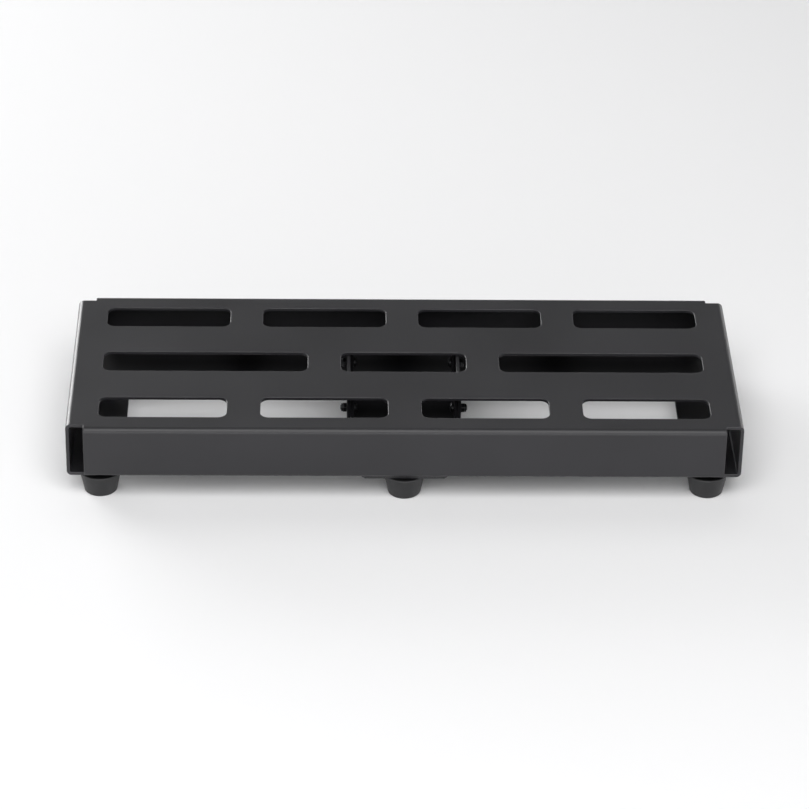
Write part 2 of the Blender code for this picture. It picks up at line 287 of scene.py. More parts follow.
@dataclass(frozen=True)
class PowderCoat:
    """Satin black powder coat: fine orange peel, faint mottling, thinner and shinier at edges,
    where a painted highlight lightens the colour.
    """

    name: str
    tint: tuple[float, float, float] = (0.0124, 0.0120, 0.0142)
    roughness: float = 0.40
    peel_scale: float = 950.0
    peel_depth: float = 0.010 * MM
    grain_scale: float = 3800.0
    grain_depth: float = 0.0025 * MM

    def material(self) -> bpy.types.Material:
        """Build the coat's material."""
        bench = Bench(self.name)
        bench.fixed(IOR=1.5, Specular_IOR_Level=0.5)
        cloudy = bench.noise(11.0, 3.0)
        peel = bench.noise(self.peel_scale, 2.0)
        grain = bench.noise(self.grain_scale, 1.0)
        dark = tuple(0.88 * part for part in self.tint)
        light = tuple(1.14 * part for part in self.tint)
        # Lighter edge colour: partly wear of a thinner coat, partly a painted highlight along the
        # edges.
        worn = tuple(2.0 * part for part in self.tint)
        mottled = bench.blend_colours(bench.remap(cloudy, (0.3, 0.7), (0.0, 1.0)), dark, light)
        speck = bench.remap(bench.cells(420.0), (0.0, 0.10), (1.0, 0.0))
        speckled = bench.blend_colours(bench.combine("MULTIPLY", speck, 0.5), mottled, light)
        # Patchy mask for the edge wear and the painted edge highlight.
        rub_and_highlight = bench.remap(bench.noise(160.0, 3.0), (0.35, 0.75), (0.25, 1.0))
        edge = bench.combine("MULTIPLY", bench.edge, rub_and_highlight)
        # Edges fade to the lighter colour, partly wear and partly painted highlight.
        colour = bench.blend_colours(edge, speckled, worn)
        base = bench.remap(cloudy, (0.3, 0.7), (self.roughness - 0.02, self.roughness + 0.025))
        fine = bench.remap(peel, (0.3, 0.7), (-0.02, 0.02))
        smooth = bench.combine("MULTIPLY", edge, -0.07)
        rough = bench.combine("ADD", bench.combine("ADD", base, fine), smooth)
        relief = bench.bump(peel, self.peel_depth)
        relief = bench.bump(grain, self.grain_depth, relief)
        return bench.finish(colour, rough, relief)


@dataclass(frozen=True)
class MouldedRubber:
    """Dark moulded rubber: matte, faintly cloudy, with a fine mould texture."""

    name: str
    tint: tuple[float, float, float] = (0.014, 0.014, 0.0148)
    roughness: float = 0.50

    def material(self) -> bpy.types.Material:
        """Build the rubber's material."""
        bench = Bench(self.name)
        bench.fixed(IOR=1.5, Specular_IOR_Level=0.36, Sheen_Weight=0.03, Sheen_Roughness=0.5)
        cloudy = bench.noise(70.0, 3.0)
        skin = bench.noise(1500.0, 3.0)
        bloom = bench.noise(260.0, 4.0)
        dark = tuple(0.85 * part for part in self.tint)
        light = tuple(1.25 * part for part in self.tint)
        dusty = tuple(1.9 * part for part in self.tint)
        mottled = bench.blend_colours(bench.remap(cloudy, (0.3, 0.7), (0.0, 1.0)), dark, light)
        scuffed = bench.combine("MULTIPLY", bench.edge, bench.remap(bloom, (0.4, 0.7), (0.2, 1.0)))
        colour = bench.blend_colours(scuffed, mottled, dusty)
        rough = bench.combine(
            "ADD",
            bench.remap(cloudy, (0.3, 0.7), (self.roughness - 0.04, self.roughness + 0.05)),
            bench.remap(skin, (0.3, 0.7), (-0.03, 0.03)),
        )
        relief = bench.bump(skin, 0.014 * MM)
        return bench.finish(colour, rough, relief)


@dataclass(frozen=True)
class PlatedSteel:
    """Plated steel turned on a lathe: fine rings, small blotches and brighter edges."""

    name: str
    tint: tuple[float, float, float]
    edge_tint: tuple[float, float, float]
    roughness: float
    metal: float

    def material(self) -> bpy.types.Material:
        """Build the plating's material."""
        bench = Bench(self.name)
        bench.fixed(Metallic=self.metal, IOR=1.5)
        blotch = bench.noise(420.0, 4.0)
        rings = bench.node("ShaderNodeTexWave")
        rings.wave_type = "RINGS"
        rings.rings_direction = "Z"
        rings.inputs["Scale"].default_value = 900.0
        rings.inputs["Distortion"].default_value = 1.5
        rings.inputs["Detail"].default_value = 2.0
        bench.wire(bench.place, rings.inputs["Vector"])
        dark = tuple(0.8 * part for part in self.tint)
        plain = bench.blend_colours(bench.remap(blotch, (0.3, 0.7), (0.0, 1.0)), dark, self.tint)
        worn = bench.combine("MULTIPLY", bench.edge, bench.remap(blotch, (0.3, 0.6), (0.3, 1.0)))
        colour = bench.blend_colours(worn, plain, self.edge_tint)
        rough = bench.combine(
            "ADD",
            bench.remap(blotch, (0.3, 0.7), (self.roughness - 0.05, self.roughness + 0.06)),
            bench.remap(rings.outputs["Fac"], (0.0, 1.0), (-0.03, 0.03)),
        )
        relief = bench.bump(rings.outputs["Fac"], 0.003 * MM)
        relief = bench.bump(blotch, 0.006 * MM, relief)
        return bench.finish(colour, rough, relief)


@dataclass(frozen=True)
class Nylon:
    """Dark nylon of the lock nuts' rings."""

    name: str
    tint: tuple[float, float, float] = (0.030, 0.032, 0.036)

    def material(self) -> bpy.types.Material:
        """Build the nylon's material."""
        bench = Bench(self.name)
        bench.fixed(IOR=1.53)
        cloudy = bench.noise(900.0, 3.0)
        light = tuple(1.5 * part for part in self.tint)
        colour = bench.blend_colours(bench.remap(cloudy, (0.3, 0.7), (0.0, 1.0)), self.tint, light)
        rough = bench.remap(cloudy, (0.3, 0.7), (0.34, 0.46))
        return bench.finish(colour, rough, bench.bump(cloudy, 0.008 * MM))


@dataclass
class Finishes:
    """Every material on the object, made once."""

    deck_coat: bpy.types.Material = field(
        default_factory=lambda: PowderCoat("deck_powder_coat").material()
    )
    # The brace has the deck's coat; its slightly darker tint is painted shade, as it sits under the
    # deck.
    brace_coat: bpy.types.Material = field(
        default_factory=lambda: PowderCoat(
            "brace_powder_coat", tint=(0.0114, 0.0110, 0.0130), roughness=0.43
        ).material()
    )
    rubber: bpy.types.Material = field(
        default_factory=lambda: MouldedRubber("moulded_rubber").material()
    )
    black_steel: bpy.types.Material = field(
        default_factory=lambda: PlatedSteel(
            "black_plated_steel",
            tint=(0.055, 0.056, 0.060),
            edge_tint=(0.16, 0.16, 0.165),
            roughness=0.38,
            metal=0.85,
        ).material()
    )
    zinc: bpy.types.Material = field(
        default_factory=lambda: PlatedSteel(
            "zinc_plated_steel",
            tint=(0.60, 0.61, 0.62),
            edge_tint=(0.74, 0.74, 0.74),
            roughness=0.34,
            metal=1.0,
        ).material()
    )
    nylon: bpy.types.Material = field(default_factory=lambda: Nylon("dark_nylon").material())


# ---------------------------------------------------------------------------------------------
# Mesh work shared by the pieces
# ---------------------------------------------------------------------------------------------


def in_scene(name: str, data: bpy.types.ID) -> bpy.types.Object:
    """Put a mesh, light or camera in the scene as a new object."""
    obj = bpy.data.objects.new(name, data)
    bpy.context.scene.collection.objects.link(obj)
    return obj


def object_from(name: str, source: bmesh.types.BMesh) -> bpy.types.Object:
    """Turn a bmesh into an object in the scene; the bmesh is freed.

    Args:
        name: Name of the object and of its mesh.
        source: Faces to hand over.

    Returns:
        The new object.
    """
    mesh = bpy.data.meshes.new(name)
    source.to_mesh(mesh)
    source.free()
    return in_scene(name, mesh)


def evaluated_mesh(obj: bpy.types.Object) -> bpy.types.Mesh:
    """Give an object's mesh with its modifiers worked in, and remove the object.

    Args:
        obj: Object with modifiers.

    Returns:
        The finished mesh.
    """
    bpy.context.view_layer.update()
    graph = bpy.context.evaluated_depsgraph_get()
    mesh = bpy.data.meshes.new_from_object(obj.evaluated_get(graph))
    bpy.data.objects.remove(obj, do_unlink=True)
    return mesh


def mark_edges(mesh: bpy.types.Mesh, narrow: float = NARROW_FACE) -> None:
    """Mark the rounded edges of a mesh, so that finishes can wear there and the powder coat can
    carry a painted highlight there.

    Args:
        mesh: Mesh to mark.
        narrow: Faces narrower than this are part of a rounded edge.
    """
    work = bmesh.new()
    work.from_mesh(mesh)
    mark = work.verts.layers.float.new(EDGE_MARK)
    slim = {
        face
        for face in work.faces
        if 2 * face.calc_area() < narrow * face.calc_perimeter()
    }
    for vert in work.verts:
        vert[mark] = 1.0 if all(face in slim for face in vert.link_faces) else 0.0
    work.to_mesh(mesh)
    work.free()


def smooth_by_area(obj: bpy.types.Object) -> None:
    """Shade an object smooth, with every large flat face kept flat."""
    obj.data.shade_smooth()
    weighted = obj.modifiers.new("flat_faces", "WEIGHTED_NORMAL")
    weighted.mode = "FACE_AREA"
    weighted.weight = 60
    weighted.keep_sharp = False


def fold_path(radius: float, reach: float, steps: int = 18) -> list[Point]:
    """Offsets of the outer face of a right-angle fold and of the straight sheet after it.

    Args:
        radius: Outer radius of the fold.
        reach: Distance along the new direction where the sheet ends.
        steps: Flat facets in the fold.

    Returns:
        Pairs of outward and along offsets from the fold's start.
    """
    turns = [RIGHT_ANGLE * step / steps for step in range(1, steps + 1)]
    path = [(radius * math.sin(turn), radius * (1 - math.cos(turn))) for turn in turns]
    path.append((radius, reach))
    return path


@dataclass
class FoldedSheet:
    """Sheet metal cut to an outline, folded at some edges, pierced and deburred."""

    name: str
    outline: list[Point]
    height: float
    folds: dict[int, tuple[Point, list[Point]]]
    rise: int
    thickness: float
    edge_radius: float = 0.5 * MM
    soft_radius: float = 1.3 * MM
    is_soft: Callable[[Vector, Vector], bool] = lambda first, second: False

    def skin(self) -> bpy.types.Object:
        """Build the outer face, folds included, and give it its thickness."""
        sheet = bmesh.new()
        corners = [sheet.verts.new((x, y, self.height)) for x, y in self.outline]
        sheet.faces.new(corners)
        for start, (direction, path) in self.folds.items():
            first = corners[start]
            second = corners[(start + 1) % len(corners)]
            roots = (first.co.copy(), second.co.copy())
            for outward, along in path:
                offset = Vector(
                    (direction[0] * outward, direction[1] * outward, self.rise * along)
                )
                next_first = sheet.verts.new(roots[0] + offset)
                next_second = sheet.verts.new(roots[1] + offset)
                sheet.faces.new((second, first, next_first, next_second))
                first = next_first
                second = next_second
        obj = object_from(self.name, sheet)
        solid = obj.modifiers.new("thickness", "SOLIDIFY")
        solid.thickness = self.thickness
        solid.offset = -1.0
        solid.use_even_offset = True
        solid.use_quality_normals = True
        return obj

    def pierce(self, obj: bpy.types.Object, punches: bmesh.types.BMesh) -> bpy.types.Object:
        """Cut a set of punches out of the sheet.

        Args:
            obj: The sheet.
            punches: Closed shapes that don't touch each other.

        Returns:
            The pierced sheet.
        """
        punch = object_from(self.name + "_punch", punches)
        cut = obj.modifiers.new("punched", "BOOLEAN")
        cut.operation = "DIFFERENCE"
        cut.solver = "EXACT"
        cut.object = punch
        mesh = evaluated_mesh(obj)
        bpy.data.objects.remove(punch, do_unlink=True)
        return in_scene(self.name, mesh)

    def deburr(self, obj: bpy.types.Object) -> bpy.types.Object:
        """Round the cut edges, some of them wider, and shade the sheet.

        Args:
            obj: The pierced sheet.

        Returns:
            The finished sheet.
        """
        work = bmesh.new()
        work.from_mesh(obj.data)
        bmesh.ops.remove_doubles(work, verts=work.verts, dist=0.002 * MM)
        weight = work.edges.layers.float.new("bevel_weight_edge")
        for edge in work.edges:
            if len(edge.link_faces) != 2 or edge.calc_face_angle() < math.radians(40):
                continue
            first, second = (vert.co for vert in edge.verts)
            wide = self.is_soft(first, second)
            edge[weight] = 1.0 if wide else self.edge_radius / self.soft_radius
        work.to_mesh(obj.data)
        work.free()
        bevel = obj.modifiers.new("rounded_edges", "BEVEL")
        bevel.width = self.soft_radius
        bevel.segments = 4
        bevel.limit_method = "WEIGHT"
        bevel.use_clamp_overlap = False
        bevel.miter_outer = "MITER_SHARP"
        mesh = evaluated_mesh(obj)
        mark_edges(mesh)
        finished = in_scene(self.name, mesh)
        smooth_by_area(finished)
        return finished


def rounded_block(
    target: bmesh.types.BMesh, size: tuple[float, float, float], centre: Vector, radius: float
) -> None:
    """Add a block whose upright edges are rounded, for cutting one slot.

    Args:
        target: Punches so far.
        size: Length, width and height.
        centre: Middle of the block.
        radius: Radius of the upright edges.
    """
    steps = 20
    corners: list[Point] = []
    half_x = size[0] / 2 - radius
    half_y = size[1] / 2 - radius
    for quarter, (sign_x, sign_y) in enumerate(((1, 1), (-1, 1), (-1, -1), (1, -1))):
        for step in range(steps + 1):
            turn = RIGHT_ANGLE * (quarter + step / steps)
            corners.append((
                centre.x + sign_x * half_x + radius * math.cos(turn),
                centre.y + sign_y * half_y + radius * math.sin(turn),
            ))
    add_prism(target, corners, centre.z - size[2] / 2, centre.z + size[2] / 2)


def add_prism(
    target: bmesh.types.BMesh,
    corners: Iterable[Point],
    bottom: float,
    top: float,
    turn: Matrix | None = None,
) -> None:
    """Add an upright prism to a bmesh.

    Args:
        target: Bmesh that receives it.
        corners: Outline, counter-clockwise seen from above.
        bottom: Lower end.
        top: Upper end.
        turn: Placing of the whole prism, or None to leave it upright.
    """
    outline = list(corners)
    placing = turn or Matrix.Identity(4)
    low = [target.verts.new(placing @ Vector((x, y, bottom))) for x, y in outline]
    high = [target.verts.new(placing @ Vector((x, y, top))) for x, y in outline]
    target.faces.new(reversed(low))
    target.faces.new(high)
    for index in range(len(outline)):
        after = (index + 1) % len(outline)
        target.faces.new((low[index], low[after], high[after], high[index]))


def round_outline(radius: float, steps: int = 40) -> list[Point]:
    """Corners of a circle drawn with straight sides."""
    turns = [2 * math.pi * step / steps for step in range(steps)]
    return [(radius * math.cos(turn), radius * math.sin(turn)) for turn in turns]


def loft(rings: list[Ring], closed: bool = False) -> bmesh.types.BMesh:
    """Join rings of points with faces, outer side out when the rings run downwards outside.

    Args:
        rings: Rings of equal length; a ring of one point closes the shape there.
        closed: Whether the last ring also joins the first.

    Returns:
        The joined shape.
    """
    shape = bmesh.new()
    rows = [[shape.verts.new(point) for point in ring] for ring in rings]
    pairs = list(zip(rows, rows[1:]))
    if closed:
        pairs.append((rows[-1], rows[0]))
    for upper, lower in pairs:
        count = max(len(upper), len(lower))
        for index in range(count):
            after = (index + 1) % count
            if len(upper) == 1:
                shape.faces.new((upper[0], lower[index], lower[after]))
            elif len(lower) == 1:
                shape.faces.new((upper[after], upper[index], lower[0]))
            else:
                shape.faces.new((upper[index], lower[index], lower[after], upper[after]))
    return shape


def turned_angles() -> list[float]:
    """Directions round an axis that give a hexagon's rounded corners and flats their points."""
    offsets = [-CORNER_TURN, -CORNER_TURN / 2, 0.0, CORNER_TURN / 2, CORNER_TURN]
    offsets += [math.radians(flat) for flat in (9.0, 16.0, 23.0, 30.0, 37.0, 44.0, 51.0)]
    return [math.pi / 3 * side + offset for side in range(6) for offset in sorted(offsets)]


def circle(radius: float, height: float, angles: list[float]) -> Ring:
    """Ring of points on a circle."""
    return [
        Vector((radius * math.cos(angle), radius * math.sin(angle), height)) for angle in angles
    ]


def hexagon(
    across_flats: float, height: float, angles: list[float], reach: float = math.inf
) -> Ring:
    """Ring of points on a hexagon with rounded corners, one of them on the X axis.

    Args:
        across_flats: Distance between opposite flats.
        height: Height of the ring.
        angles: Directions of the points.
        reach: Largest distance from the axis, where a chamfer cuts the corners.

    Returns:
        The ring.
    """
    apothem = across_flats / 2
    tilt = math.radians(30)
    # A corner of this radius meets the flats where the corner's five points end.
    corner = apothem * math.tan(CORNER_TURN) / (
        math.sin(tilt) * math.cos(tilt) + math.tan(CORNER_TURN) * math.sin(tilt) ** 2
    )
    inner = (apothem - corner) / math.cos(tilt)
    ring: Ring = []
    for angle in angles:
        side = math.remainder(angle, math.pi / 3)
        if abs(side) <= CORNER_TURN * 1.001:
            lateral = inner * math.sin(side)
            distance = inner * math.cos(side) + math.sqrt(max(corner**2 - lateral**2, 0.0))
        else:
            distance = apothem / math.cos(tilt - abs(side))
        distance = min(distance, reach)
        ring.append(Vector((distance * math.cos(angle), distance * math.sin(angle), height)))
    return ring


def quarter_round(
    centre: Point, radius: float, start: float, steps: int = 5, sweep: float = -RIGHT_ANGLE
) -> list[Point]:
    """Points of a rounded corner of a turned profile, as distances from the axis and heights.

    Args:
        centre: Middle of the rounding.
        radius: Radius of the rounding.
        start: Direction of the first point, in radians.
        steps: Facets in the rounding.
        sweep: Angle turned through.

    Returns:
        The points in order.
    """
    return [
        (
            centre[0] + radius * math.cos(start + sweep * step / steps),
            centre[1] + radius * math.sin(start + sweep * step / steps),
        )
        for step in range(steps + 1)
    ]


def turned(name: str, profile: list[Point], angles: list[float], closed: bool) -> bpy.types.Object:
    """Make a turned piece from its profile.

    Args:
        name: Name of the piece.
        profile: Distances from the axis and heights, down the outside.
        angles: Directions of the points round the axis.
        closed: Whether the profile is a loop, as round a bore.

    Returns:
        The piece.
    """
    rings = [
        circle(radius, height, angles) if radius > 0 else [Vector((0, 0, height))]
        for radius, height in profile
    ]
    return object_from(name, loft(rings, closed))


def dress(
    obj: bpy.types.Object,
    slot: Slot,
    nodes: Iterable[str],
    *materials: bpy.types.Material,
) -> bpy.types.Object:
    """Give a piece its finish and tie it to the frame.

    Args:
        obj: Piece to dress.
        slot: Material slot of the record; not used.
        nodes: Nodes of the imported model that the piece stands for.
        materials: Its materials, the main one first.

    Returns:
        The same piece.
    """
    obj.data.materials.clear()
    for material in materials:
        obj.data.materials.append(material)
    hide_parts(*nodes)
    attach(obj, "root")
    LOG.info("%s: %d faces", obj.name, len(obj.data.polygons))
    return obj


def copy_of(template: bpy.types.Mesh, name: str, placing: Matrix) -> bpy.types.Object:
    """Put a copy of a finished mesh in the scene under its own name.

    Args:
        template: Mesh to copy.
        name: Name of the new piece.
        placing: Where it goes.

    Returns:
        The new piece.
    """
    mesh = template.copy()
    mesh.name = name
    obj = in_scene(name, mesh)
    obj.matrix_world = placing
    return obj


def label_of(end: End, side: Side) -> str:
    """Name of one of the brace's four fixings."""
    return f"{end.name.lower()}_{side.name.lower()}"


def middle_of(node: str) -> Vector:
    """Middle of a node's box."""
    low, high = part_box(node)
    return (low + high) / 2


# ---------------------------------------------------------------------------------------------
# Sub-assemblies
# ---------------------------------------------------------------------------------------------


@dataclass
class Deck:
    """The deck: a slotted top with a wall folded back under it along each of its edges."""

    finishes: Finishes
    sheet: float = 3.2 * MM
    gap: float = 0.3 * MM
    top_bend: float = 5.0 * MM
    return_bend: float = 4.5 * MM
    return_width: float = 50.0 * MM
    flange_bend: float = 3.7 * MM
    flange_return: float = 64.0 * MM
    flange_inset: float = 16.0 * MM
    channel_setback: float = 8.0 * MM
    face_depth: float = 236.0 * MM
    edge_bar: float = 21.6 * MM
    inner_bar: float = 45.7 * MM
    end_bar: float = 28.6 * MM
    slot_bridge: float = 30.5 * MM
    slot_corner: float = 8.0 * MM
    slot_rows: int = 3
    slots_in_outer_row: int = 4
    hole_radius: float = 2.8 * MM

    def __post_init__(self) -> None:
        """Read the deck's overall size from the frame."""
        low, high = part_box("deck")
        self.half_length = (high.x - low.x) / 2
        self.half_depth = self.face_depth / 2
        self.top = high.z
        self.fold_height = high.z - low.z
        self.flange_x = self.half_length - self.flange_inset

    def row_spans(self, row: int) -> list[Point]:
        """Left and right end of each slot in a row.

        Args:
            row: Row counted from the front.

        Returns:
            The spans, left to right.
        """
        span = 2 * (self.half_length - self.end_bar)
        bridges = (self.slots_in_outer_row - 1) * self.slot_bridge
        short = (span - bridges) / self.slots_in_outer_row
        long = (span - short - 2 * self.slot_bridge) / 2
        lengths = [long, short, long] if row % 2 else [short] * self.slots_in_outer_row
        spans: list[Point] = []
        left = -span / 2
        for length in lengths:
            spans.append((left, left + length))
            left += length + self.slot_bridge
        return spans

    def punches(self) -> bmesh.types.BMesh:
        """Shapes of every slot and screw hole."""
        shapes = bmesh.new()
        bars = 2 * self.edge_bar + (self.slot_rows - 1) * self.inner_bar
        width = (2 * self.half_depth - bars) / self.slot_rows
        pitch = width + self.inner_bar
        for row in range(self.slot_rows):
            y = (row - (self.slot_rows - 1) / 2) * pitch
            for left, right in self.row_spans(row):
                size = (right - left, width, 4 * self.sheet)
                centre = Vector(((left + right) / 2, y, self.top - self.sheet / 2))
                rounded_block(shapes, size, centre, self.slot_corner)
        underside = self.top - self.fold_height
        for end in End:
            for column in Column:
                centre = middle_of(f"foot_{end.name.lower()}_{column.value}")
                outline = [
                    (centre.x + x, centre.y + y) for x, y in round_outline(self.hole_radius)
                ]
                add_prism(shapes, outline, underside - self.sheet, underside + 4 * self.sheet)
        return shapes

    def folded_back(self, drop: float, bend: float, width: float) -> list[Point]:
        """Offsets of a wall folded down from the top and then folded back under it.

        Args:
            drop: Height of the wall.
            bend: Outer radius of the lower fold.
            width: Width of the return, from the wall's outer face.

        Returns:
            Pairs of outward and along offsets.
        """
        path = fold_path(self.top_bend, drop - bend)
        for outward, along in fold_path(bend, width):
            path.append((self.top_bend - along, drop - bend + outward))
        return path

    def is_flange_side(self, first: Vector, second: Vector) -> bool:
        """Whether an edge runs down the outer face at the end of a flange."""
        near = 0.05 * MM
        outer = self.half_depth - self.top_bend
        at_end = all(abs(abs(point.x) - self.flange_x) < near for point in (first, second))
        if not at_end:
            return False
        return all(self.is_on_outer_face(point, outer) for point in (first, second))

    def is_on_outer_face(self, point: Vector, bend_start: float) -> bool:
        """Whether a point at a flange's end lies on its outer face.

        Args:
            point: Point to test.
            bend_start: Distance from the board's middle where the fold starts.

        Returns:
            True on the outer face.
        """
        near = 0.05 * MM
        across = abs(point.y)
        if across <= bend_start + near:
            return abs(point.z - self.top) < near and across > bend_start - near
        low = self.top - self.top_bend
        if point.z < low:
            return abs(across - self.half_depth) < near
        reach = math.hypot(across - bend_start, point.z - low)
        return abs(reach - self.top_bend) < near

    def build(self) -> bpy.types.Object:
        """Fold, pierce, deburr and coat the deck."""
        flat_x = self.half_length - self.top_bend
        flat_y = self.half_depth - self.top_bend
        flange_x = self.flange_x
        channel_y = self.half_depth - self.channel_setback
        outline = [
            (-flange_x, -flat_y), (flange_x, -flat_y), (flange_x, -channel_y),
            (flat_x, -channel_y), (flat_x, channel_y), (flange_x, channel_y),
            (flange_x, flat_y), (-flange_x, flat_y), (-flange_x, channel_y),
            (-flat_x, channel_y), (-flat_x, -channel_y), (-flange_x, -channel_y),
        ]
        drop = self.fold_height - self.sheet - self.gap
        flange = self.folded_back(drop, self.flange_bend, self.flange_return)
        wall = self.folded_back(self.fold_height, self.return_bend, self.return_width)
        sheet = FoldedSheet(
            "deck_panel",
            outline,
            self.top,
            {
                0: ((0, -1), flange),
                3: ((1, 0), wall),
                6: ((0, 1), flange),
                9: ((-1, 0), wall),
            },
            rise=-1,
            thickness=self.sheet,
            edge_radius=0.55 * MM,
            is_soft=self.is_flange_side,
        )
        panel = sheet.deburr(sheet.pierce(sheet.skin(), self.punches()))
        return dress(panel, Slot.DECK_COAT, ["deck"], self.finishes.deck_coat)


@dataclass
class BraceChannel:
    """The channel under the deck, with a long tongue at each end that carries a middle foot."""

    finishes: Finishes
    sheet: float = 3.2 * MM
    bend: float = 5.0 * MM
    wall_end: float = 52.0 * MM
    tongue_width: float = 78.0 * MM
    tongue_corner: float = 3.0 * MM
    hole_radius: float = 2.8 * MM

    def outline(self, half_width: float, tongue_y: float) -> list[Point]:
        """Flat outline of the web, counter-clockwise from below.

        Args:
            half_width: Half the width of the flat web.
            tongue_y: Distance from the middle to a tongue's end.

        Returns:
            The corners.
        """
        wall_y = self.wall_end
        side = self.tongue_width / 2
        corner = self.tongue_corner
        front = [
            (-half_width, wall_y), (-side, wall_y), (-side, tongue_y - corner),
            (-side + corner, tongue_y), (side - corner, tongue_y), (side, tongue_y - corner),
            (side, wall_y), (half_width, wall_y),
        ]
        return front + [(-x, -y) for x, y in front]

    def punches(self, web: float) -> bmesh.types.BMesh:
        """Shapes of the screw holes in the web and walls.

        Args:
            web: Height of the web's underside.

        Returns:
            The shapes.
        """
        shapes = bmesh.new()
        hole = round_outline(self.hole_radius)
        for end in End:
            centre = middle_of(f"foot_{end.name.lower()}_middle")
            outline = [(centre.x + x, centre.y + y) for x, y in hole]
            add_prism(shapes, outline, web - self.sheet, web + 2 * self.sheet)
            for side in Side:
                screw = middle_of(f"brace_screw_{label_of(end, side)}")
                placing = Matrix.Translation(screw) @ Matrix.Rotation(RIGHT_ANGLE, 4, "Y")
                add_prism(shapes, hole, -4 * self.sheet, 4 * self.sheet, placing)
        return shapes

    def build(self) -> bpy.types.Object:
        """Fold, pierce, deburr and coat the channel."""
        low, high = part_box("centre_brace")
        wall = fold_path(self.bend, high.z - low.z)
        outline = self.outline(high.x - self.bend, high.y)
        sheet = FoldedSheet(
            "brace_channel",
            outline,
            low.z,
            {7: ((1, 0), wall), 15: ((-1, 0), wall)},
            rise=1,
            thickness=self.sheet,
            edge_radius=0.45 * MM,
        )
        channel = sheet.deburr(sheet.pierce(sheet.skin(), self.punches(low.z)))
        return dress(channel, Slot.BRACE_COAT, ["centre_brace"], self.finishes.brace_coat)


